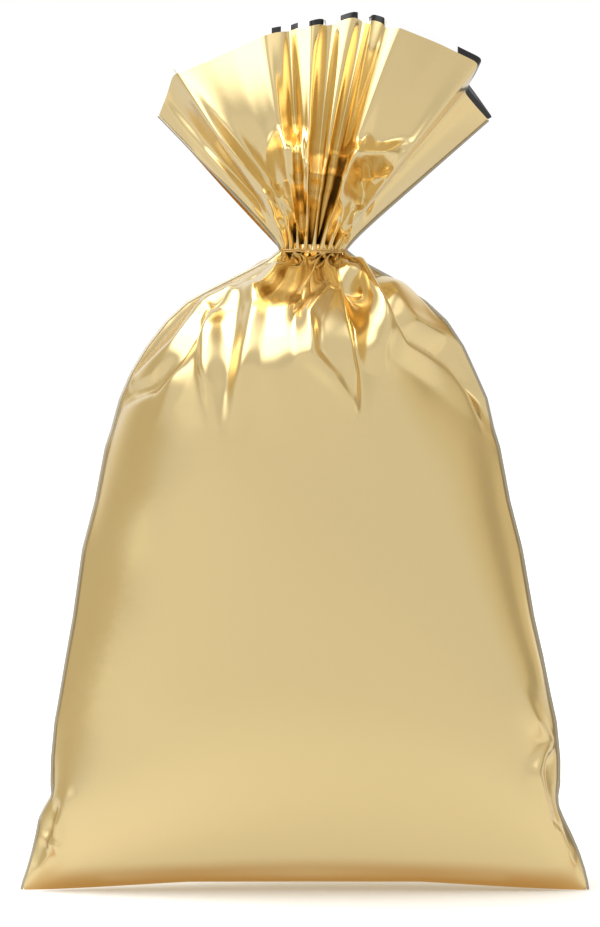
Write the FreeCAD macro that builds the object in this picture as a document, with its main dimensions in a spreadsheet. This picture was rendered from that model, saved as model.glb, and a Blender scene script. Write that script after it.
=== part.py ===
import FreeCAD, Part
import math
import os

from FreeCAD import Placement, Rotation, Vector

# Foil gift bag, filled, gathered at the neck and tied with thread.
#
# The bag is one web of metallised film, folded at the foot and welded up both sides. Above the
# tie the loose film stands up as a pleated ruff, and its mouth has a narrow border with no gold
# lacquer. Film is drawn thicker than the real 0.035 mm, as the cell film_gauge says.
#
# Frame: +Z up, origin at the middle of the foot on the table, front of the bag towards -Y.
# All lengths are millimetres and all angles are degrees.

doc = FreeCAD.newDocument("gift_bag")
sheet = doc.addObject("Spreadsheet::Sheet", "dimensions")

# ---- Driving dimensions -------------------------------------------------------------------

DIMENSIONS = {
    "film_gauge": 0.4,
    "panel_gap": 0.45,  # from the weld's middle plane to each panel's edge
    "weld_thickness": 0.8,
    "weld_outside": 1.2,  # how far the side weld stands out of the panels
    "weld_inside": 0.8,  # how far it reaches in between them
    "stuffing_clearance": 4.0,
    "neck_shift": 3.0,  # the neck sits this far to the right of the foot's middle
    "neck_height": 226.0,
    "neck_radius": 11.0,
    "thread_radius": 0.3,
    "thread_pitch": 0.65,
    "knot_length": 1.5,
    "knot_radius": 1.1,
    "tail_length": 5.0,
    "tail_splay": 35.0,
    "ruff_start": 5.5,  # height of the ruff's first row above the neck's middle
    "ruff_inner_radius": 11.4,
    "ruff_outer_radius": 12.8,
    "border_width": 3.0,
    "ruff_weld_radius": 0.35,
}

# The outline of the filled body, from the foot up: height, half width, half depth, and the share
# of neck_shift that the section has moved sideways.
STATIONS = {
    "foot": (0.4, 99.0, 22.0, 0.0),
    "ear": (12.0, 97.0, 25.0, 0.0),
    "hip": (32.0, 89.5, 31.0, 0.0),
    "lap": (70.0, 86.0, 39.0, 0.0),
    "waist": (115.0, 78.5, 46.0, 0.0),
    "chest": (150.0, 71.5, 49.0, 0.0),
    "shoulder": (180.0, 63.5, 46.0, 0.2),
    "slope": (200.0, 49.5, 37.0, 0.6),
    "collar": (212.0, 33.0, 25.0, 0.9),
    "throat": (220.0, 10.0, 9.8, 1.0),
}
STATION_SIZES = ("height", "half_width", "half_depth", "shift")

# The ruff's fold lines from the left weld to the right one: the angle from upright that each
# line fans out to, its length from the neck's middle, and how far its end leans out of the
# fan's plane. Odd rows are valleys.
FRONT_FOLDS = (
    (-48, 76, 0),
    (-44, 77, 9),
    (-39, 80, -14),
    (-24, 80, -22),
    (-10, 80, -8),
    (-4, 80, -20),
    (4, 82, -5),
    (10, 85, -20),
    (15, 85, -3),
    (20, 85, -21),
    (31, 86, -24),
    (41, 87, -12),
    (45, 81, 6),
    (53, 79, 0),
)
BACK_FOLDS = (
    (-48, 76, 0),
    (-42, 78, 24),
    (-31, 79, 12),
    (-22, 81, 32),
    (-11, 80, 18),
    (-3, 83, 34),
    (6, 82, 20),
    (15, 84, 36),
    (25, 83, 22),
    (34, 84, 33),
    (44, 82, 16),
    (53, 79, 0),
)
RUFF_MIDDLE_DEPTH = 4.0  # the welds of the ruff lie this far behind the neck's middle
SECTION_POINTS = 9  # points on each half section of the body


def fill_sheet():
    """Writes every driving dimension into the sheet, one row each, with its name as the alias."""
    rows = dict(DIMENSIONS)
    for station, sizes in STATIONS.items():
        for size, value in zip(STATION_SIZES, sizes):
            rows[f"{station}_{size}"] = value
    for row, (name, value) in enumerate(rows.items(), start=1):
        sheet.set(f"A{row}", name)
        sheet.set(f"B{row}", str(value))
        sheet.setAlias(f"B{row}", name)
    doc.recompute()


def size(name):
    """The value of one of the sheet's cells."""
    return float(sheet.get(name))


def bind(item, **cells):
    """Ties properties of an object to expressions on the sheet's cells."""
    for name, expression in cells.items():
        item.setExpression(name, expression)


def feature(name, shape):
    """A sub-part whose shape is set directly."""
    item = doc.addObject("Part::Feature", name)
    item.Shape = shape
    item.Label = name
    return item


# ---- Body film: foot, front and back panel ------------------------------------------------


def station(name):
    """Height, half width, half depth and middle of one of the body's sections."""
    height, width, depth, shift = (size(f"{name}_{part}") for part in STATION_SIZES)
    return height, width, depth, shift * size("neck_shift")


def half_ellipse(width, depth, middle, height, side, gap):
    """Points round the front (side -1) or back (side 1) half of a section, from right to left."""
    points = []
    for i in range(SECTION_POINTS):
        turn = math.pi * i / (SECTION_POINTS - 1)
        points.append(
            Vector(
                middle + width * math.cos(turn),
                side * (gap + depth * math.sin(turn)),
                height,
            )
        )
    return points


def spline(points):
    """A smooth edge through the points."""
    curve = Part.BSplineCurve()
    curve.interpolate(points)
    return curve.toShape()


def panel(side):
    """The front or back film of the body: a thin shell lofted through crescent sections."""
    gauge, gap = size("film_gauge"), size("panel_gap")
    wires = []
    for name in STATIONS:
        height, width, depth, middle = station(name)
        outer = half_ellipse(width, depth, middle, height, side, gap)
        inner = half_ellipse(width - gauge, depth - gauge, middle, height, side, gap)
        wires.append(
            Part.Wire(
                [
                    spline(outer),
                    Part.makeLine(outer[-1], inner[-1]),
                    spline(inner[::-1]),
                    Part.makeLine(inner[0], outer[0]),
                ]
            )
        )
    return Part.makeLoft(wires, True, False)


def base_fold():
    """The folded end of the web, spread flat under the filling: an oval of film on the table."""
    oval = doc.addObject("Part::Ellipse", "fold_outline")
    bind(
        oval,
        MajorRadius="dimensions.foot_half_width",
        MinorRadius="dimensions.foot_half_depth + dimensions.panel_gap",
    )
    fold = doc.addObject("Part::Extrusion", "base_fold")
    fold.Base = oval
    fold.DirMode = "Custom"
    fold.Dir = Vector(0, 0, 1)
    fold.Solid = True
    bind(fold, LengthFwd="dimensions.film_gauge")
    fold.Label = "base_fold"
    return fold


def side_weld(side):
    """The welded side edge: a narrow flat strip that follows the body's outline."""
    outline = []
    for name in STATIONS:
        height, width, _, middle = station(name)
        outline.append(Vector(middle + side * width, 0, height))
    outline[-1] = (outline[-1] * 3 + outline[-2]) * 0.25  # it ends just short of the throat
    outside, inside = [], []
    for i, point in enumerate(outline):
        along = outline[min(i + 1, len(outline) - 1)] - outline[max(i - 1, 0)]
        across = Vector(along.z, 0, -along.x).normalize() * side
        outside.append(point + across * size("weld_outside"))
        inside.append(point - across * size("weld_inside"))
    outside[0].z = inside[0].z = outline[0].z
    strip = Part.Wire(
        [
            spline(outside),
            Part.makeLine(outside[-1], inside[-1]),
            spline(inside[::-1]),
            Part.makeLine(inside[0], outside[0]),
        ]
    )
    thickness = size("weld_thickness")
    solid = Part.Face(strip).extrude(Vector(0, thickness, 0))
    solid.translate(Vector(0, -thickness / 2, 0))
    return solid


def stuffing():
    """The soft filling that holds the film out, a little smaller than the film all round."""
    clear = size("stuffing_clearance")
    wires = []
    for name in list(STATIONS)[:-1]:
        height, width, depth, middle = station(name)
        height += clear if name == "foot" else 0
        ring = half_ellipse(width - clear, depth - clear, middle, height, -1, 0)
        ring += half_ellipse(width - clear, depth - clear, middle, height, 1, 0)[-2:0:-1]
        curve = Part.BSplineCurve()
        curve.interpolate(ring, PeriodicFlag=True)
        wires.append(Part.Wire([curve.toShape()]))
    return Part.makeLoft(wires, True, False)


# ---- Neck: gathered film, thread, knot ----------------------------------------------------


def neck_place(x=0.0, y=0.0, z=0.0, turn=None):
    """A placement given from the neck's middle."""
    middle = Vector(size("neck_shift"), 0, size("neck_height"))
    return Placement(middle + Vector(x, y, z), turn or Rotation())


def gathered_neck():
    """The bunched film inside the tie, rounded so that the bag and the ruff can bend about it."""
    bunch = doc.addObject("Part::Sphere", "gathered_neck")
    bind(bunch, Radius="dimensions.neck_radius")
    bunch.Placement = neck_place()
    bunch.Label = "gathered_neck"
    return bunch


def tie_turn(name, side):
    """One turn of the thread round the gathered film, above (1) or below (-1) its middle."""
    turn = doc.addObject("Part::Torus", name)
    turn.Angle1, turn.Angle2, turn.Angle3 = -180, 180, 360
    bind(
        turn,
        Radius1="dimensions.neck_radius + dimensions.thread_radius * 1.1",
        Radius2="dimensions.thread_radius",
    )
    turn.Placement = neck_place(z=side * size("thread_pitch") / 2)
    turn.Label = name
    return turn


def knot_distance():
    """How far behind the neck's middle the knot lies: it rests on the gathered film."""
    return size("neck_radius") + size("knot_radius") + 0.05


def tie_knot():
    """The overhand knot that closes the thread, at the back of the neck."""
    knot = doc.addObject("Part::Ellipsoid", "tie_knot")
    knot.Angle1, knot.Angle2, knot.Angle3 = -90, 90, 360
    bind(
        knot,
        Radius1="dimensions.knot_radius",
        Radius2="dimensions.knot_length",
        Radius3="dimensions.knot_radius",
    )
    knot.Placement = neck_place(y=knot_distance())
    knot.Label = "tie_knot"
    return knot


def tie_tail(name, side):
    """A trimmed end of the thread, hanging from the knot."""
    tail = doc.addObject("Part::Cylinder", name)
    bind(tail, Radius="dimensions.thread_radius", Height="dimensions.tail_length")
    lean = Vector(side * math.tan(math.radians(size("tail_splay"))), 0.35, -1).normalize()
    out = size("knot_radius") + 0.2
    start = Vector(0, knot_distance(), 0) + lean * out
    turn = Rotation(Vector(0, 0, 1), lean)
    tail.Placement = neck_place(start.x, start.y, start.z, turn)
    tail.Label = name
    return tail


# ---- Ruff: pleated film above the tie -----------------------------------------------------


def fold_lines(folds, side):
    """The (lower, upper) ends of each fold line of one side of the ruff."""
    middle = neck_place().Base
    lines = []
    for i, (angle, length, depth) in enumerate(folds):
        turn = math.pi * i / (len(folds) - 1)
        radius = size("ruff_inner_radius") if i % 2 else size("ruff_outer_radius")
        edge = side * size("panel_gap") * 2
        low = middle + Vector(
            -radius * math.cos(turn),
            side * radius * math.sin(turn) + edge,
            size("ruff_start"),
        )
        fan = math.radians(angle)
        high = middle + Vector(
            length * math.sin(fan),
            RUFF_MIDDLE_DEPTH + depth + edge,
            length * math.cos(fan),
        )
        lines.append((low, high))
    return lines


def pleated(lines, first, last):
    """A folded strip of film between two heights on its fold lines, each as a share of the line."""
    gauge = size("film_gauge")
    rows = [[low + (high - low) * share for low, high in lines] for share in (first, last)]
    outward = []
    for i in range(len(lines)):
        normal = Vector()
        for j in (i - 1, i):
            if 0 <= j < len(lines) - 1:
                facet = (lines[j + 1][1] - lines[j][1]).cross(lines[j][1] - lines[j][0])
                normal += facet.normalize()
        outward.append(normal.normalize() * gauge)
    front = rows
    back = [[p + n for p, n in zip(row, outward)] for row in rows]
    quads = []
    for i in range(len(lines) - 1):
        j = i + 1
        quads.append((front[0][i], front[0][j], front[1][j], front[1][i]))
        quads.append((back[0][i], back[1][i], back[1][j], back[0][j]))
        quads.append((front[0][i], back[0][i], back[0][j], front[0][j]))
        quads.append((front[1][i], front[1][j], back[1][j], back[1][i]))
    for i in (0, len(lines) - 1):
        quads.append((front[0][i], front[1][i], back[1][i], back[0][i]))
    faces = []
    for a, b, c, d in quads:
        faces.append(Part.Face(Part.makePolygon([a, b, c, a])))
        faces.append(Part.Face(Part.makePolygon([a, c, d, a])))
    shell = Part.makeShell(faces)
    shell.sewShape()
    solid = Part.makeSolid(shell)
    if solid.Volume < 0:
        solid.reverse()
    return solid


def ruff_side(name, folds, side):
    """One side of the ruff: the gold film, and the bare border along its mouth."""
    lines = fold_lines(folds, side)
    longest = max((high - low).Length for low, high in lines)
    split = 1 - size("border_width") / longest
    return [
        feature(f"ruff_{name}", pleated(lines, 0, split)),
        feature(f"mouth_border_{name}", pleated(lines, split, 1)),
    ]


def ruff_weld(name, end):
    """The side weld of the ruff, a thin bead from the neck to the corner of the mouth."""
    front = fold_lines(FRONT_FOLDS, -1)[end]
    back = fold_lines(BACK_FOLDS, 1)[end]
    low, high = ((f + b) * 0.5 for f, b in zip(front, back))
    bead = doc.addObject("Part::Cylinder", name)
    bind(bead, Radius="dimensions.ruff_weld_radius")
    bead.Height = (high - low).Length
    bead.Placement = Placement(low, Rotation(Vector(0, 0, 1), high - low))
    bead.Label = name
    return bead


# ---- Assembly ------------------------------------------------------------------------------

fill_sheet()
sub_parts = [
    base_fold(),
    feature("front_panel", panel(-1)),
    feature("back_panel", panel(1)),
    feature("left_side_weld", side_weld(-1)),
    feature("right_side_weld", side_weld(1)),
    feature("stuffing", stuffing()),
    gathered_neck(),
    tie_turn("tie_turn_lower", -1),
    tie_turn("tie_turn_upper", 1),
    tie_knot(),
    tie_tail("tie_tail_left", -1),
    tie_tail("tie_tail_right", 1),
    *ruff_side("front", FRONT_FOLDS, -1),
    *ruff_side("back", BACK_FOLDS, 1),
    ruff_weld("ruff_weld_left", 0),
    ruff_weld("ruff_weld_right", -1),
]
doc.recompute()

for item in doc.Objects:
    if {"Invalid", "Error"} & set(item.State):
        raise RuntimeError(f"{item.Name} failed to recompute: {item.State}")
os.makedirs("parts", exist_ok=True)
for item in sub_parts:
    shape = item.Shape
    if shape.isNull() or not shape.isValid() or not shape.Solids:
        raise RuntimeError(f"{item.Label} has no valid solid")
    print(f"{item.Label}: {shape.Volume:.1f} mm3, {len(shape.Solids)} solid(s)")
    shape.exportStep(os.path.join("parts", f"{item.Label}.step"))
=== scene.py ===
import bmesh
import bpy
import numpy as np
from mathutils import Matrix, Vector


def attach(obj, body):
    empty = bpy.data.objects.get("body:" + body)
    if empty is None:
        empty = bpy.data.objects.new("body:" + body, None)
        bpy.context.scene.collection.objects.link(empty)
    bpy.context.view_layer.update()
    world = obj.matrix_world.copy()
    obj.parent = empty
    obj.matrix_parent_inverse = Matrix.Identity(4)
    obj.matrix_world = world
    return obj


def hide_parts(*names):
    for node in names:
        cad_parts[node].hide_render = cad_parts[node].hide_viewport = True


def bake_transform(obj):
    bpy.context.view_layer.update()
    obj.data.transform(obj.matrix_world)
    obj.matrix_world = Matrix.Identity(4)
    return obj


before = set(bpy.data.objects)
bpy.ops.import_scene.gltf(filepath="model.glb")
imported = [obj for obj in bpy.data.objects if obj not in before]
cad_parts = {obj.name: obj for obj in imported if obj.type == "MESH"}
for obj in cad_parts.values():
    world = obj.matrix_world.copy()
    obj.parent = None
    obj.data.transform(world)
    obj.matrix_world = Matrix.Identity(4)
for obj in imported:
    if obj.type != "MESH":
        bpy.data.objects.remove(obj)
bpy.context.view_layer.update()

# ---- Body film ------------------------------------------------------------------------------
# One web of gold lacquered, metallised film, folded at the foot and welded at both sides. The
# filling pushes it out as far as its flat width allows, and the thread gathers it into pleats.
# Places on the film are in millimetres until its mesh is made.

WIDTH = 200.0
NECK = np.array([3.0, 0.0, 226.0])
NECK_RADIUS = 11.0
COLUMNS = 151  # of points across the film, in its finest grid


def along(points, shares):
    """Points at the given shares of a line's length, and that length."""
    p = np.array(points, float)
    s = np.concatenate([[0], np.cumsum(np.linalg.norm(np.diff(p, axis=0), axis=1))])
    return np.stack([np.interp(shares * s[-1], s, p[:, k]) for k in range(3)], -1), s[-1]


def gathered(side, seed, tops):
    """The film's pleated line at the tie, evenly spaced along the film from left to right.

    tops are the angles round the ring between which the pleats' outer faces lie."""
    rng = np.random.default_rng(seed)
    edges = np.radians(tops)
    deep = rng.uniform(0.75, 1.15, len(edges))
    low, high = 0.1, 1.5
    for _ in range(40):
        scale = (low + high) / 2
        turns, radii = [np.pi], [1.0]
        for i in range(len(edges) - 1):
            inset = 0.12 * (edges[i] - edges[i + 1])
            turns += [edges[i] - inset, edges[i + 1] + inset]
            radii += [1, 1]
            if i < len(edges) - 2:
                turns.append(edges[i + 1])
                radii.append(1 - scale * deep[i])
        turns, radii = np.array(turns + [0]), np.array(radii + [1])
        ring = np.stack([radii * np.cos(turns), side * radii * np.sin(turns), 0 * turns], -1)
        line, length = along(ring * NECK_RADIUS + NECK, np.linspace(0, 1, COLUMNS))
        low, high = (scale, high) if length < WIDTH else (low, scale)
    return line


necks = {
    -1: gathered(-1, 3, [180, 174, 168, 162, 156, 150, 50, 42, 34, 26, 18, 9, 0]),
    1: gathered(1, 8, [180, 168, 152, 133, 121, 98, 84, 66, 49, 30, 14, 0]),
}

OUTLINE = {
    -1: [(99.6, 0.3), (99, 3), (97.3, 8), (95.6, 14), (94.2, 20), (93.2, 25.5), (91, 30),
         (88.6, 34), (88.9, 38), (88.7, 47), (87.4, 60), (85.6, 70), (83.4, 83), (80.9, 97),
         (77.5, 121), (73, 138), (69.4, 157), (67.3, 163), (64.3, 174), (60.4, 183), (55, 192),
         (48, 201), (41, 207.5), (33, 212), (25, 216), (18, 219.5), (12.5, 222.5), (8, 226)],
    1: [(99.8, 0.3), (99.4, 3), (98.2, 8), (96.2, 14), (93.6, 20), (90.9, 25.5), (89, 30),
        (88.8, 34), (89.5, 38), (89.5, 47), (88.2, 60), (86, 70), (83.4, 83), (80.2, 97),
        (76, 121), (71.6, 138), (68, 157), (66, 163), (63.5, 174), (59.5, 183), (55.4, 192),
        (49.5, 201), (42.5, 207.5), (36, 212), (30.5, 216), (24, 219.5), (18.5, 222.5), (14, 226)],
}
HEIGHT = 257.0  # of the body film at its sides, from the fold at the foot to the tie
RISE = 9.0  # how much further up the film the tie lies in the middle
LIFT = 2.8  # how far the middle of the fold stands off the table
LOWEST, HIGHEST = 0.4, 225.8  # heights between which the film lies, fold and tie aside
PLEAT_HEIGHT, PLEAT_REACH = 1.4, 8.0  # of the small pleats that run down from the tie
# How high the film can stand at each distance from the tie's axis: the shoulders slope down.
LID = (3.0, [11, 15.5, 21, 28, 34, 41, 48, 55, 60, 64],
       [225.8, 222, 219, 215.5, 211.5, 207, 200.5, 191.5, 183, 176])

# Creases below the tie, seen square on: each goes through points (x, z, how far the film stands
# out, how wide the slope is on its left and on its right).
FOLDS = {
    -1: [
        [(14.9, 221.1, -7, 4, 3), (18.1, 208.8, -9, 6, 4), (20.3, 197.0, -8, 7, 4),
         (21.4, 184.1, -6, 6, 3), (20.3, 170.6, -1, 3, 3)],
        [(7.8, 212.9, 3, 2.5, 4), (2.6, 202.9, 4.5, 2.5, 6), (2.4, 191.2, 4.5, 2.5, 6),
         (9.6, 183.5, 3.5, 2.5, 5), (18.4, 169.8, 0, 2, 2)],
        [(17.2, 220.5, 3, 4, 3), (24.0, 208.8, 3.5, 5, 3), (24.9, 197.0, 3, 5, 4),
         (23.7, 184.1, 1.5, 4, 4), (20.1, 170.6, 0, 3, 3)],
        [(14.9, 224.6, 4, 3, 3), (21.9, 214.6, 4.5, 3, 5), (27.8, 204.1, 4, 3, 6),
         (37.2, 193.5, 3, 3, 7), (52.4, 181.8, 2.5, 3, 8), (64.1, 168.9, 1, 3, 6)],
        [(21.9, 221.7, -4, 3, 3), (28.9, 208.8, -6, 4, 4), (37.2, 198.2, -7, 5, 5),
         (50.1, 191.2, -7, 5, 5), (59.5, 179.4, -6, 5, 5), (65.3, 166.5, -2, 4, 4)],
        [(20.7, 222.9, 1, 3, 3), (28.9, 214.6, 2, 4, 4), (40.7, 211.1, 3, 6, 6), (51.2, 204.7, 3, 4, 5),
         (58.3, 195.9, 2.5, 4, 4), (63.6, 186.5, 1, 3, 3)],
        [(-11.0, 213.2, -1.5, 9, 4), (-1.6, 212.1, -2, 9, 4), (6.9, 213.2, -1.5, 9, 4)],
        [(-6.7, 225.0, 2, 3, 3), (-10.0, 218.2, 3, 3, 4), (-16.8, 212.1, 2.5, 4, 4),
         (-25.1, 211.6, 2, 4, 4)],
        [(-22.7, 210.5, -1.5, 4, 6), (-25.1, 197.0, -2.2, 6, 6), (-27.6, 177.7, -2, 5, 5),
         (-29.0, 163.0, 0, 3, 3)],
        [(-33.7, 202.9, 3.5, 5, 4), (-33.3, 186.5, 3.5, 5, 4), (-29.5, 163.6, 0, 3, 3)],
        [(-16.8, 209.7, 2, 5, 5), (-19.7, 192.3, 2.5, 5, 6), (-26.9, 164.2, 0, 4, 4)],
        [(-25.1, 211.6, 2, 3, 3), (-33.7, 207.8, 3, 3, 4), (-43.8, 193.5, 3, 3, 4),
         (-61.4, 178.3, 2, 3, 3)],
        [(-34.7, 202.9, -3.5, 3, 3), (-42.7, 189.4, -3.5, 4, 3), (-52.6, 179.4, -3, 3, 3),
         (-62.0, 175.3, -1.5, 3, 3)],
        [(-38.0, 195.9, 1.5, 4, 4), (-45.0, 181.8, 2, 5, 5), (-52.3, 164.2, 0, 4, 4)],
        [(-8.6, 192.3, 0, 6, 6), (-8.6, 178.3, 1.2, 8, 8), (-8.6, 161.8, 0, 10, 10)],
        [(-70, 3.2, 0.6, 3, 2.5), (0, 5, 1.1, 3.5, 3), (70, 3.2, 0.6, 3, 2.5)],
        [(-83, 35, 0.6, 3, 4), (-86.5, 25, 1.6, 3, 4), (-86, 14, 1.2, 3, 4), (-96, 3, 0, 2, 2)],
        [(-88, 30, -1.5, 3, 2), (-91.5, 20, -2, 3, 2), (-95, 10, -1, 2, 2)],
        [(-95, 20.5, 1, 2, 2), (-86, 15.5, 1.5, 2, 2)],
        [(75, 74, 0, 3, 3), (81.5, 61, 1.5, 4, 4), (87, 53.5, 1, 2, 2)],
        [(87, 54, 1, 2, 2), (80.3, 43.5, 2.5, 4, 3), (84, 33, 2, 4, 3), (88, 23, 0.5, 2, 2)],
        [(86, 47, -2, 3, 3), (86.5, 36, -2, 3, 3), (89, 25, -1, 2, 2)],
        [(88.5, 23, 1.5, 3, 2), (92.5, 14, 1.5, 3, 2), (97, 3, 0, 2, 2)],
    ],
    1: [
        [(-6.3, 221.7, -6, 4, 5), (-11.0, 208.8, -7, 5, 6), (-15.7, 195.9, -5, 6, 6),
         (-16.8, 178.3, 0, 4, 4)],
        [(0.8, 220.5, 3, 4, 3), (-2.8, 205.2, 4, 5, 4), (-6.3, 187.6, 2, 5, 5), (-8.6, 173.6, 0, 4, 4)],
        [(10.2, 221.7, -4, 4, 4), (14.9, 206.4, -5, 5, 5), (21.9, 190.0, -3, 5, 5),
         (26.6, 173.6, 0, 4, 4)],
        [(14.9, 224.6, 3, 4, 4), (27.8, 208.8, 4, 5, 5), (40.7, 194.7, 3, 6, 6), (54.8, 178.3, 1, 5, 5)],
        [(-6.3, 225.0, 3, 4, 4), (-20.4, 213.5, 4, 5, 5), (-36.8, 201.7, 3, 6, 6),
         (-50.9, 182.9, 1, 5, 5)],
        [(-27.4, 204.1, -4, 4, 4), (-36.8, 187.6, -3, 4, 4), (-46.2, 170.0, 0, 3, 3)],
        [(31.3, 211.1, -4, 4, 4), (45.4, 201.7, -4, 4, 4), (59.5, 185.3, -2, 4, 4)],
    ],
}


def outward(p):
    """The unit normal at each point of the grid."""
    n = np.cross(np.gradient(p, axis=1), np.gradient(p, axis=0))
    return n / (np.linalg.norm(n, axis=-1, keepdims=True) + 1e-9)


def links(flat, free):
    """Groups of point pairs that can be pulled at once: which, how far apart, how firmly.

    far is a web of long links, near joins neighbours and bends keeps the film from kinking."""
    every = slice(None)
    diagonal, stiffness = 0.6, 0.05
    far, near, bends = [], [], []

    def add(group, a, b, share):
        rest = np.linalg.norm(flat[a] - flat[b], axis=-1, keepdims=True).astype(np.float32)
        weight = (share / (free[a] + free[b] + 1e-6))[..., None].astype(np.float32)
        group.append((a, b, rest, weight * free[a][..., None].astype(np.float32),
                      weight * free[b][..., None].astype(np.float32)))

    for axis in (0, 1):
        count = flat.shape[axis]
        for turn in (0, 1):
            end = turn + 2 * ((count - 1 - turn) // 2)
            a, b = slice(turn, end, 2), slice(turn + 1, end + 1, 2)
            add(near, *(((a, every), (b, every)) if axis == 0 else ((every, a), (every, b))), 1)
            if axis == 0:
                lower, upper = slice(0, -1), slice(1, None)
                add(near, (a, lower), (b, upper), diagonal)
                add(near, (a, upper), (b, lower), diagonal)
        for step in (32, 16, 8, 4, 2):
            lines = np.arange(count - step)
            for turn in (0, 1):
                i = lines[(lines // step) % 2 == turn]
                if len(i):
                    keys = ((i,), (i + step,)) if axis == 0 else ((every, i), (every, i + step))
                    add(*((far, *keys, 1) if step > 2 else (bends, *keys, stiffness)))
    return far, near, bends


STEPS, SWEEPS, DRAG = 150, 6, 0.85  # of the film's settling: moves, pulls in each, speed kept


def relax(p, free, flat, push):
    """Moves the free points of a grid until no link is longer than it is in flat film.

    push is the pressure from inside. Film may be shorter than flat: it is slack there."""
    p = p.astype(np.float32)
    f = free[..., None].astype(np.float32)
    far, near, bends = links(flat, free)
    q = p.copy()

    def pull(group, slack=True):
        for a, b, rest, share_a, share_b in group:
            pa, pb = p[a], p[b]
            d = pb - pa
            e = 1 - rest / (np.sqrt((d * d).sum(-1, keepdims=True)) + 1e-6)
            d *= np.maximum(e, 0) if slack else e
            p[a] = pa + d * share_a
            p[b] = pb - d * share_b

    for _ in range(STEPS):
        v = (p - q) * DRAG
        q[:] = p
        p += (v + outward(p) * push) * f
        pull(far)
        for _ in range(SWEEPS):
            pull(near)
        pull(bends, slack=False)
        top = np.interp(np.hypot(p[..., 0] - LID[0], p[..., 1]), *LID[1:])
        p[..., 2] = np.where(free > 0, np.clip(p[..., 2], LOWEST, top), p[..., 2])
    return p


def finer(p, rows, columns):
    """The same film on a finer grid, on smooth curves through its points."""
    for count in (rows, columns):
        at = np.linspace(0, p.shape[0] - 1, count)
        i = np.clip(at.astype(int), 0, p.shape[0] - 2)
        w = (at - i)[:, None, None]
        a, b, c, d = (p[np.clip(i + k, 0, p.shape[0] - 1)] for k in (-1, 0, 1, 2))
        p = b + w / 2 * (c - a + w * (2 * a - 5 * b + 4 * c - d + w * (3 * (b - c) + d - a)))
        p = p.transpose(1, 0, 2)
    return p


def creases(x, z, lines):
    """How far the film stands out at x, z: sharp along each line, straight slopes beside it."""
    out = np.zeros(x.shape)
    for line in lines:
        most = np.zeros(x.shape)
        for (ax, az, ah, al, ar), (bx, bz, bh, bl, br) in zip(line, line[1:]):
            ux, uz = bx - ax, bz - az
            s = np.clip(((x - ax) * ux + (z - az) * uz) / (ux * ux + uz * uz), 0, 1)
            dx, dz = x - ax - s * ux, z - az - s * uz
            wide = np.where(ux * dz > uz * dx, al + s * (bl - al), ar + s * (br - ar))
            high = (ah + s * (bh - ah)) * np.maximum(0, 1 - np.hypot(dx, dz) / wide)
            most = np.where(np.abs(high) > np.abs(most), high, most)
        out += most
    return out


def eased(p, times, share):
    """The same film with each inner point moved towards the middle of its four neighbours."""
    p = p.copy()
    for _ in range(times):
        around = (p[2:, 1:-1] + p[:-2, 1:-1] + p[1:-1, 2:] + p[1:-1, :-2]) / 4
        p[1:-1, 1:-1] += (around - p[1:-1, 1:-1]) * share
    return p


def body_film(side):
    """The front (-1) or back (1) film of the filled bag."""
    p = None
    flip = slice(None, None, -side)
    for rows, columns in ((34, 26), (67, 51), (165, COLUMNS)):
        shares = np.linspace(0, 1, rows)
        across = np.linspace(0, WIDTH, columns)
        tall = HEIGHT + RISE * np.sin(np.pi * across / WIDTH)
        flat = np.stack([across + 0 * shares[:, None], shares[:, None] * tall], -1)
        below = HEIGHT * (1 - shares)
        left, right = (along([(s * x, 0, z) for x, z in OUTLINE[s]], shares)[0] for s in (-1, 1))
        turn = np.pi * (1 - across / WIDTH)
        if p is None:
            middle, half = (left + right) / 2, (right - left) / 2
            depth = np.interp(left[:, 2], [0, 12, 40, 100, 150, 190, 210, 226],
                              [8, 20, 32, 44, 48, 40, 25, 9])
            p = middle[:, None] + half[:, None] * np.cos(turn)[None, :, None]
            p[..., 1] = side * depth[:, None] * np.sin(turn)
            p[..., 2] = middle[:, None, 2]
        else:
            p = finer(p, rows, columns)
        p[:, 0], p[:, -1] = left, right
        p[0] = left[0] + (right[0] - left[0]) * (across / WIDTH)[:, None]
        p[0, :, 2] += LIFT * np.clip(np.sin(turn) * 1.25, 0, 1) ** 1.5
        free = np.zeros((rows, columns))
        free[1:-1, 1:-1] = 1
        if columns < COLUMNS:
            ring = np.stack([np.cos(turn), side * np.sin(turn), 0 * turn], -1)
            p[-1] = NECK + ring * NECK_RADIUS
            # The folds to come take up part of the film's width near the tie.
            flat[..., 0] *= np.interp(below, [0, 40, 90, 170], [0.72, 0.78, 0.88, 1])[:, None]
            p = relax(p[:, flip], free, flat, 3 / columns)[:, flip]
            continue
        p = eased(p, 60, 0.5)
        p[-1] = necks[side]
        out = np.linalg.norm(necks[side] - NECK, axis=1)
        out = (out - out.mean()) / out.std()
        normal = outward(p) * -side
        edge = np.minimum(1, np.minimum(np.arange(columns), np.arange(columns)[::-1]) / 4)
        stand = creases(p[..., 0], p[..., 2], FOLDS[side]) * np.minimum(1, below / 6)[:, None]
        for i in range(1, rows - 1):
            window = np.hanning(2 * int(1 + below[i] / 3) + 3)
            wave = np.convolve(np.pad(out, len(window) // 2, mode="edge"), window, "valid")
            fade = max(0, 1 - below[i] / PLEAT_REACH)
            wave = (wave - wave.max()) * PLEAT_HEIGHT * fade / wave.std()
            p[i] += normal[i] * ((wave + stand[i]) * edge)[:, None]
        p = eased(p, 2, 0.4)
        p[1:-1, 1:-1, 2] = np.clip(p[1:-1, 1:-1, 2], LOWEST, HIGHEST)
    return p


bodies = {side: body_film(side) for side in (-1, 1)}


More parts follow.
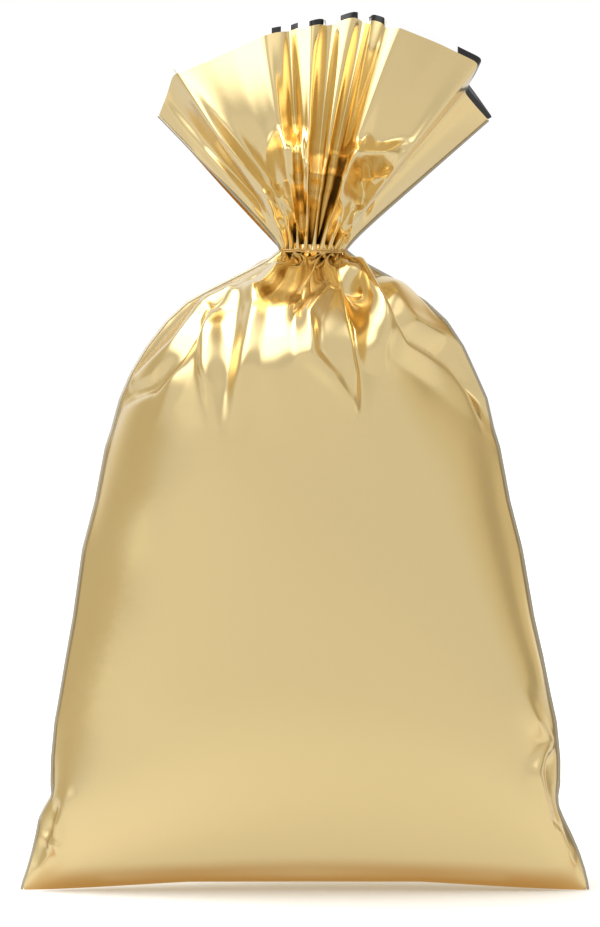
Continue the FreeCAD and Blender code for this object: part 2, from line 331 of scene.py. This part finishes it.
class Field:
    """A shader socket that takes part in ordinary arithmetic."""

    def __init__(self, tree, socket):
        self.tree, self.socket = tree, socket

    def node(self, kind, settings=None, sockets=None):
        """A node with these settings, and these values or fields in its input sockets."""
        new = self.tree.nodes.new(kind)
        for name, value in (settings or {}).items():
            setattr(new, name, value)
        for name, value in (sockets or {}).items():
            if isinstance(value, Field):
                self.tree.links.new(value.socket, new.inputs[name])
            else:
                new.inputs[name].default_value = value
        return new

    def out(self, node, name):
        return Field(self.tree, node.outputs[name])

    def maths(self, operation, *values):
        sockets = dict(enumerate(values))
        return self.out(self.node("ShaderNodeMath", {"operation": operation}, sockets), 0)

    def __add__(self, other):
        return self.maths("ADD", self, other)

    def __sub__(self, other):
        return self.maths("SUBTRACT", self, other)

    def __mul__(self, other):
        return self.maths("MULTIPLY", self, other)

    def __rsub__(self, other):
        return self.maths("SUBTRACT", other, self)

    __radd__, __rmul__ = __add__, __mul__

    def step(self, low, high):
        """0 below low, 1 above high, and smooth between them."""
        node = self.node("ShaderNodeMapRange", {"interpolation_type": "SMOOTHSTEP"},
                         {"Value": self, "From Min": low, "From Max": high})
        return self.out(node, "Result")

    def mix(self, low, high, blend="MIX"):
        """The colour low where this is 0; where it is 1 high, or low blended with high."""
        low, high = (c if isinstance(c, Field) else (*c, 1) for c in (low, high))
        kind = {"data_type": "RGBA", "blend_type": blend, "clamp_factor": False}
        return self.out(self.node("ShaderNodeMix", kind, {0: self, 6: low, 7: high}), 2)

    def into(self, socket):
        self.tree.links.new(self.socket, socket)


def surface(name):
    """A new material: its output to start fields from, and its Principled node."""
    material = bpy.data.materials.new(name)
    material.use_nodes = True
    tree = material.node_tree
    return material, Field(tree, None), tree.nodes["Principled BSDF"]


def noise(start, scale, detail=2.0):
    """Noise over the piece's own place, scale in cycles per metre."""
    place = start.out(start.node("ShaderNodeTexCoord"), "Object")
    node = start.node("ShaderNodeTexNoise", {}, {"Vector": place, "Scale": scale,
                                                 "Detail": detail})
    return start.out(node, "Fac")


def film_material(name, colour, low, high):
    material, start, shader = surface(name)
    shader.inputs["Base Color"].default_value = (*colour, 1)
    shader.inputs["Metallic"].default_value = 1
    (low + (high - low) * noise(start, 60)).into(shader.inputs["Roughness"])
    height = noise(start, 90, 3) * 0.5 + noise(start, 900, 2) * 0.05
    bump = start.node("ShaderNodeBump", {}, {"Height": height, "Distance": 0.00035,
                                             "Strength": 0.35})
    start.out(bump, 0).into(shader.inputs["Normal"])
    return material, start, shader


gold, *_ = film_material("gold_film", (0.84, 0.655, 0.33), 0.15, 0.23)

MM = 0.001


def mesh_of(name, p, keep=slice(None)):
    """A smooth mesh from the rows of a grid, in metres."""
    p = p[keep] * MM
    rows, columns = p.shape[:2]
    k = np.arange(rows * columns).reshape(rows, columns)
    faces = np.stack([k[:-1, :-1], k[:-1, 1:], k[1:, 1:], k[1:, :-1]], -1).reshape(-1, 4)
    mesh = bpy.data.meshes.new(name)
    mesh.from_pydata(p.reshape(-1, 3).tolist(), [], faces.tolist())
    mesh.shade_smooth()
    piece = bpy.data.objects.new(name, mesh)
    bpy.context.scene.collection.objects.link(piece)
    return piece


def film_piece(name, grid, keep, material):
    """A piece of film from some rows of a grid, subdivided once."""
    piece = mesh_of(name, grid, keep)
    piece.data.materials.append(material)
    bpy.context.view_layer.objects.active = piece
    piece.modifiers.new("finer", "SUBSURF").levels = 1
    bpy.ops.object.modifier_apply(modifier="finer")
    return piece


SIDES = {-1: "front", 1: "back"}
for side, name in SIDES.items():
    body = film_piece(f"body_film_{name}", bodies[side], slice(None), gold)
    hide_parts(f"{name}_panel", *(["base_fold"] if side < 0 else []))
    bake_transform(body)

# ---- Side welds of the body -------------------------------------------------------------------
# Each side is a crimped heat weld that joins front and back film: a narrow flat strip, duller
# than the film, that stands out from its edge.

weld_material, _, shader = surface("weld")
shader.inputs["Base Color"].default_value = (0.45, 0.40, 0.30, 1)
shader.inputs["Metallic"].default_value = 1
shader.inputs["Roughness"].default_value = 0.35


def ribbon(name, line, middle, width):
    """A flat strip of weld along a line, 0.1 mm thick, on the side away from a middle point."""
    tangent = np.gradient(line, axis=0)
    across = np.cross(tangent, [0, 1, 0])
    across /= np.linalg.norm(across, axis=1, keepdims=True)
    across *= np.sign(((line - middle) * across).sum(1))[:, None]
    thick = np.array([0, 0.05, 0])
    rows = [line - thick, line + across * width - thick, line + across * width + thick,
            line + thick, line - thick]
    piece = mesh_of(name, np.stack(rows, 1))
    piece.data.materials.append(weld_material)
    return piece


SIDE_COLUMNS = {"left": 0, "right": COLUMNS - 1}
for word, column in SIDE_COLUMNS.items():
    strip = ribbon(f"{word}_weld_strip", bodies[-1][:, column], np.array([0, 0, 100.0]), 0.9)
    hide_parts(f"{word}_side_weld")
    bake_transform(strip)

# ---- Stuffing -------------------------------------------------------------------------------
# A loose block of crumpled tissue fills the bag. The film hides it, and it stays several
# millimetres inside the film all round.

loop = np.concatenate([bodies[-1], bodies[1][:, -2::-1]], axis=1)[16:158:6, ::6]
centre = loop.mean(axis=1, keepdims=True)
rng = np.random.default_rng(12)
crumple = rng.uniform(0.9, 1, loop.shape[:2])
crumple[:, -1] = crumple[:, 0]
share = np.sin(np.pi * np.linspace(0.1, 0.9, len(loop)))[:, None] ** 0.25 * crumple
wad = centre + (loop - centre) * share[..., None] * [0.86, 0.72, 1]
wad[..., 2] = centre[..., 2]
wad = np.concatenate([wad[:1] * 0 + centre[0], wad, wad[:1] * 0 + centre[-1]])
stuffing = mesh_of("stuffing_tissue", wad)
shell = bmesh.new()
shell.from_mesh(stuffing.data)
bmesh.ops.remove_doubles(shell, verts=shell.verts, dist=1e-5)
bmesh.ops.recalc_face_normals(shell, faces=shell.faces)
shell.to_mesh(stuffing.data)
shell.free()
tissue, _, shader = surface("tissue")
shader.inputs["Base Color"].default_value = (0.83, 0.81, 0.77, 1)
shader.inputs["Roughness"].default_value = 0.9
stuffing.data.materials.append(tissue)
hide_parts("stuffing")
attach(stuffing, "bag")

# ---- Gathered neck --------------------------------------------------------------------------
# Inside the thread the pleats of gold film are pressed together into one solid bunch, a few
# millimetres tall.

outline = np.vstack([necks[-1], necks[1][::-1][1:]]) - NECK
levels = np.array([-2.2, -1.4, -0.7, 0, 0.7, 1.4, 2.2])[:, None, None]  # above the tie
bunch = mesh_of("neck_bunch", NECK + outline[None] * (0.96 - 0.012 * levels**2) + levels * [0, 0, 1])
bunch.data.materials.append(gold)
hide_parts("gathered_neck")
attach(bunch, "neck")

# ---- Tie thread -----------------------------------------------------------------------------
# Two turns of a thin two-ply metallic thread are pulled tight round the pleats, with a knot at
# the back and two trimmed ends.

thread_material, _, shader = surface("thread")
shader.inputs["Base Color"].default_value = (0.72, 0.50, 0.20, 1)
shader.inputs["Metallic"].default_value = 1
shader.inputs["Roughness"].default_value = 0.28


def ply(name, line, radius, twist, offset, start_turn):
    """A round strand that winds about a line, once round in each length of twist."""
    tangent = np.gradient(line, axis=0)
    tangent /= np.linalg.norm(tangent, axis=1, keepdims=True)
    side = np.cross(tangent, [0.13, 0.21, 1.0])
    side /= np.linalg.norm(side, axis=1, keepdims=True)
    up = np.cross(side, tangent)
    run = np.concatenate([[0], np.cumsum(np.linalg.norm(np.diff(line, axis=0), axis=1))])
    turn = (start_turn + run / twist * 2 * np.pi)[:, None]
    centre = line + offset * (np.cos(turn) * side + np.sin(turn) * up)
    around = np.linspace(0, 2 * np.pi, 8)[None, :, None]
    rings = centre[:, None] + radius * (np.cos(around) * side[:, None] + np.sin(around) * up[:, None])
    return mesh_of(name, rings)


def two_ply(name, line, radius):
    """A twisted thread of two plies, joined into one piece."""
    plies = [ply(f"{name}_{i}", line, radius * 0.58, radius * 5, radius * 0.48, i * np.pi)
             for i in (0, 1)]
    bpy.ops.object.select_all(action="DESELECT")
    for strand in plies:
        strand.select_set(True)
    bpy.context.view_layer.objects.active = plies[0]
    bpy.ops.object.join()
    piece = plies[0]
    piece.name = name
    piece.data.materials.append(thread_material)
    return piece


THREAD_RADIUS, THREAD_PITCH = 0.3, 0.65
turn = np.linspace(0, 4 * np.pi, 1100)
wobble = 0.12 * np.sin(7 * turn + 1) + 0.08 * np.sin(11 * turn)
radius = NECK_RADIUS + 0.34 + 0 * turn
coil = NECK + np.stack([radius * np.sin(turn), radius * np.cos(turn),
                        THREAD_PITCH * (turn / (2 * np.pi) - 1) + wobble], -1)
thread = two_ply("tie_thread_twisted", coil, THREAD_RADIUS)
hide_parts("tie_turn_lower", "tie_turn_upper")
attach(thread, "neck")

for name in ("tie_knot", "tie_tail_left", "tie_tail_right"):
    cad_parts[name].data.materials.clear()
    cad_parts[name].data.materials.append(thread_material)

# ---- Ruff film ------------------------------------------------------------------------------
# Above the tie the same gold film is an open tube, fanned out from the pleats to a mouth with
# broad panels at its sides and narrow pleats in its middle. The border along the mouth has no
# lacquer: bare metal, with painted reflection in bars across it, near-black and near-white,
# the pale bars also given a painted glow.

MOUTH = {
    -1: [(-52.6, 12, 275), (-50, 6, 281), (-47.4, 0, 288.5), (-45.6, -5, 289.5),
         (-34, -13, 293.8), (-24.5, -17, 298.2), (-14.5, -19, 302.5), (-10.5, -17, 303.6),
         (-7.4, -12, 304.2), (-5.6, 0, 303.9), (-4.6, -17, 304.6), (-1.9, -20, 305.6),
         (0.3, 0, 304.9), (1.9, -21, 306), (6.2, -21, 307), (7.8, 4, 306), (11.6, 5, 307.4),
         (12.7, -20, 308.1), (18.5, -18, 309.8), (19.7, 4, 308.1), (22.4, 1, 306.7),
         (23.4, -18, 308.4), (28.3, -23, 306.7), (28, -14, 304.6), (32.6, -24, 305.3),
         (47.7, -26, 299.3), (61.8, -22, 292.6), (59.3, -8, 287), (56.9, -1, 283.1),
         (61.8, 7, 277.8), (66.4, 12, 273.2)],
    1: [(-52.6, 12, 275), (-48.8, 20, 279.2), (-41.7, 24, 288.4), (-32.6, 14, 293.3),
        (-25.5, 26, 296.8), (-16.4, 27, 301), (-11.4, 14, 301.7), (-6.9, 28, 303.2),
        (0.2, 30, 304.6), (4.8, 14, 305.3), (9, 31, 306.7), (16, 31, 307.4), (21.7, 16, 306),
        (26.6, 30, 304.9), (35.4, 28, 302.8), (40, 14, 299.6), (46.3, 27, 296.8),
        (55.5, 24, 289.1), (60.4, 14, 282), (66.4, 12, 273.2)],
}
RUFF_ROWS = 84

# Creases of the film caught just above the tie, in the same form as those below it.
PUFFS = [
    [(-4.9, 269.2, 1, 4, 4), (-4.3, 261.0, 12, 8, 9), (-3.9, 251.0, 11, 8, 8),
     (-2.5, 238.7, 1, 4, 4)],
    [(-4.3, 261.0, 4, 5, 5), (4.5, 252.2, 7, 6, 7), (3.1, 244.0, 2, 4, 4)],
    [(11.8, 244.0, 3, 3, 5), (13.4, 252.2, 7, 4, 6), (17.9, 259.8, 12, 4, 8),
     (27.8, 260.2, 11, 3, 9), (34.0, 262.5, 3, 3, 4)],
    [(19.0, 254.5, -4, 4, 4), (20.7, 245.2, -4, 4, 4), (20.1, 233.4, 0, 3, 3)],
    [(13.4, 248.7, 3, 3, 4), (12.7, 233.4, 3, 3, 3)],
    [(-1.6, 248.7, 4, 3, 4), (3.1, 244.0, 4, 4, 4), (1.0, 233.4, 3, 3, 3)],
    [(-45.9, 286.8, 2, 4, 3), (-33.3, 269.2, 5, 5, 3), (-15.7, 248.7, 5, 4, 3),
     (-8.0, 232.2, 2, 3, 3)],
    [(-46.8, 279.2, -2, 3, 3), (-33.9, 262.8, -6, 4, 5), (-16.2, 243.4, -6, 4, 4),
     (-9.8, 230.5, -2, 3, 3)],
    [(-13.3, 245.2, 4, 3, 3), (-6.3, 238.1, 4, 3, 3), (-5.1, 229.9, 2, 3, 3)],
    [(17.8, 239.3, 3, 3, 3), (15.4, 229.9, 2, 3, 3)],
]


def mouth_line(side):
    """The mouth's line, its pleats made as deep as the film's width asks for."""
    p = np.array(MOUTH[side], float)
    trend = np.convolve(np.pad(p[:, 1], 2, mode="edge"), np.ones(5) / 5, mode="valid")
    low, high = -1.0, 4.0
    for _ in range(40):
        more = (low + high) / 2
        q = p.copy()
        q[1:-1, 1] = (trend + (p[:, 1] - trend) * (1 + more))[1:-1]
        line, length = along(q, np.linspace(0, 1, COLUMNS))
        low, high = (more, high) if length < WIDTH else (low, more)
    for _ in range(2):
        line[1:-1] = line[1:-1] / 2 + (line[:-2] + line[2:]) / 4
    return line


def ruff_film():
    """The whole ruff as a tube of film: front from left to right, then back to the left."""
    neck = np.vstack([gathered(-1, 5, np.linspace(180, 0, 12)), necks[1][::-1][1:]])
    mouth = np.vstack([mouth_line(-1), mouth_line(1)[::-1][1:]])
    ring = neck.copy()
    for _ in range(40):
        before, after = np.roll(ring[:-1], 1, 0), np.roll(ring[:-1], -1, 0)
        ring[:-1] = ring[:-1] / 2 + (before + after) / 4
        ring[-1] = ring[0]
    t = np.linspace(0, 1, RUFF_ROWS)[:, None, None]
    wide = mouth.copy()
    for _ in range(60):
        wide[1:-1] = wide[1:-1] / 2 + (wide[:-2] + wide[2:]) / 4
    front = np.arange(len(neck)) < COLUMNS
    fade = np.where(front, 12.0, 1.2)[None, :, None]
    p = ring * (1 - t) + wide * t + (neck - ring) * (1 - t) ** fade * (1 + 1.2 * t)
    p = p + (mouth - wide) * [1, 0, 1] * t
    p = p + (mouth - wide) * [0, 1, 0] * t**0.65 * (1 + np.where(front, 7, 1)[:, None] * (1 - t))
    belly = np.where(front, np.interp(ring[:, 0], [-8, -4, 3, 14], [0, 1, 0.9, 0]), 0)
    p[..., 1] -= 11 * belly * np.sin(np.pi * t[..., 0])
    half = p[:, :COLUMNS]
    half[..., 1] -= creases(half[..., 0], half[..., 2], PUFFS) * np.minimum(1, t[:, 0] * 8)[:, :1]
    return eased(p, 2, 0.4)


ruff = ruff_film()

silver, start, shader = film_material("silver_film", (0.9, 0.9, 0.9), 0.08, 0.12)
across = start.out(start.node("ShaderNodeSeparateXYZ", {}, {
    0: start.out(start.node("ShaderNodeTexCoord"), "Object")}), 0)
# Painted reflection: near-black bars at the right end and at these places across the mouth; between them
# near-white with a painted glow.
painted_dark_reflection_bars = across.step(0.0528, 0.0532)
for low, high in ((-11.4, -8.3), (-4.8, -2.3), (1.6, 6.5), (12.5, 18.5), (22.4, 27.6)):
    painted_dark_reflection_bars = painted_dark_reflection_bars + across.step(low * MM - 2e-4, low * MM) * (
        1 - across.step(high * MM, high * MM + 2e-4))
painted_dark_reflection_bars.mix((0.95, 0.95, 0.95), (0.05, 0.05, 0.05)).into(shader.inputs["Base Color"])
painted_dark_reflection_bars.mix((0.3, 0.3, 0.3), (0, 0, 0)).into(shader.inputs["Emission Color"])
shader.inputs["Emission Strength"].default_value = 1

BORDER = 2  # rows of the ruff's grid that make the bare border at the mouth
for side, name in SIDES.items():
    half = ruff[:, :COLUMNS] if side < 0 else ruff[:, COLUMNS - 1:][:, ::-1]
    fan = film_piece(f"ruff_film_{name}", half, slice(None, -BORDER), gold)
    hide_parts(f"ruff_{name}")
    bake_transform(fan)
    border = film_piece(f"mouth_border_film_{name}", half, slice(-BORDER - 1, None), silver)
    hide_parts(f"mouth_border_{name}")
    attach(border, "ruff")

# ---- Side welds of the ruff -------------------------------------------------------------------
# The same heat welds run on above the tie, a little narrower, and hold the two films of the
# ruff together up to the bare border.

for word, column in SIDE_COLUMNS.items():
    strip = ribbon(f"{word}_ruff_weld_strip", ruff[:-BORDER, column], np.array([3.0, 0, 290.0]), 0.7)
    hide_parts(f"ruff_weld_{word}")
    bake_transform(strip)

# ---- Stage, light and camera ----------------------------------------------------------------
# A pale floor in a white tent: broad soft light overhead on the left, dimmer gaps at both sides,
# seen from in front with a long lens.

bpy.ops.mesh.primitive_plane_add(size=8, location=(0, 0, -0.0002))
floor = bpy.context.object
floor.name = "floor"
floor_material, start, shader = surface("floor")
# Painted light: to the camera the floor is plain white. In reflections it is dim grey and glows instead.
# The glow is a painted contact shadow in dark amber, standing in for shade and light bounced off the
# gold, within about 13 mm of the bag's fold line. It weakens over the first 22 cm further out.
seen = start.out(start.node("ShaderNodeLightPath"), "Is Camera Ray")
seen.mix((0.24, 0.24, 0.24), (1, 1, 1)).into(shader.inputs["Base Color"])
depth = start.out(start.node("ShaderNodeSeparateXYZ", {}, {
    0: start.out(start.node("ShaderNodeTexCoord"), "Object")}), 1)
away = depth.maths("ABSOLUTE", depth)
painted_floor_glow_and_shadow = away.step(0, 0.013).mix((0.36, 0.2, 0.05), (0.59, 0.59, 0.59))
painted_floor_glow_and_shadow = away.step(0, 0.22).mix(painted_floor_glow_and_shadow, (0.16, 0.16, 0.16), "SUBTRACT")
seen.mix(painted_floor_glow_and_shadow, (0, 0, 0)).into(shader.inputs["Emission Color"])
shader.inputs["Emission Strength"].default_value = 1
shader.inputs["Roughness"].default_value = 0.8
shader.inputs["Specular IOR Level"].default_value = 0.1
floor.data.materials.append(floor_material)

world = bpy.data.worlds.new("studio")
bpy.context.scene.world = world
world.use_nodes = True
start = Field(world.node_tree, None)
direction = start.out(start.node("ShaderNodeTexCoord"), "Generated")
axes = start.node("ShaderNodeSeparateXYZ", {}, {0: direction})
x, y = start.out(axes, 0), start.out(axes, 1)
seen = start.out(start.node("ShaderNodeLightPath"), "Is Camera Ray")


def patch(towards, inner, outer):
    """1 within an angle of a direction, 0 beyond a wider one."""
    node = start.node("ShaderNodeVectorMath", {"operation": "DOT_PRODUCT"}, {
        0: direction, 1: Vector(towards).normalized()})
    return start.out(node, "Value").step(np.cos(np.radians(outer)), np.cos(np.radians(inner)))


tent = 0.68 + 0.09 * x.step(-0.1, 0.7) + 0.25 * y.step(0.55, 0.9) - 0.25 * patch((1, 0.3, 0.05), 6, 14)
warm = patch((1, 0.5, 0), 14, 40) + patch((-1, 0.5, 0), 14, 40)
ceiling = patch((0.5, 0.4, 0.75), 16, 42)
box = 2.0 * patch((-0.54, -0.4, 0.8), 18, 51) + 0.5 * patch((0.6, -0.3, 0.7), 6, 20)
sky = warm.mix(tent, (0.9, 0.82, 0.64), "MULTIPLY")
sky = ceiling.mix(sky, (0.7, 0.55, 0.35), "MULTIPLY")
sky = box.mix(sky, (1, 1, 1), "ADD")
seen.mix(sky, (1.02, 1.02, 1.02)).into(world.node_tree.nodes["Background"].inputs["Color"])


light = bpy.data.lights.new("top", "AREA")
light.shape, light.size, light.size_y, light.energy = "RECTANGLE", 1.2, 1.0, 14
lamp = bpy.data.objects.new("top", light)
bpy.context.scene.collection.objects.link(lamp)
lamp.location = (-0.5, 0.3, 1.9)
lamp.rotation_euler = (Vector((0, 0, 0.1)) - lamp.location).to_track_quat("-Z", "Y").to_euler()

camera = bpy.data.objects.new("camera", bpy.data.cameras.new("camera"))
bpy.context.scene.collection.objects.link(camera)
bpy.context.scene.camera = camera
reach, rise, aim = 1.6, 0.045, Vector((-0.0016, 0, 0.1512))
camera.location = aim + Vector((0, -reach, reach * rise))
camera.rotation_euler = (aim - camera.location).to_track_quat("-Z", "Y").to_euler()
camera.data.lens = camera.data.sensor_width * (aim - camera.location).length / 0.3264
bpy.context.scene.view_settings.view_transform = "Standard"
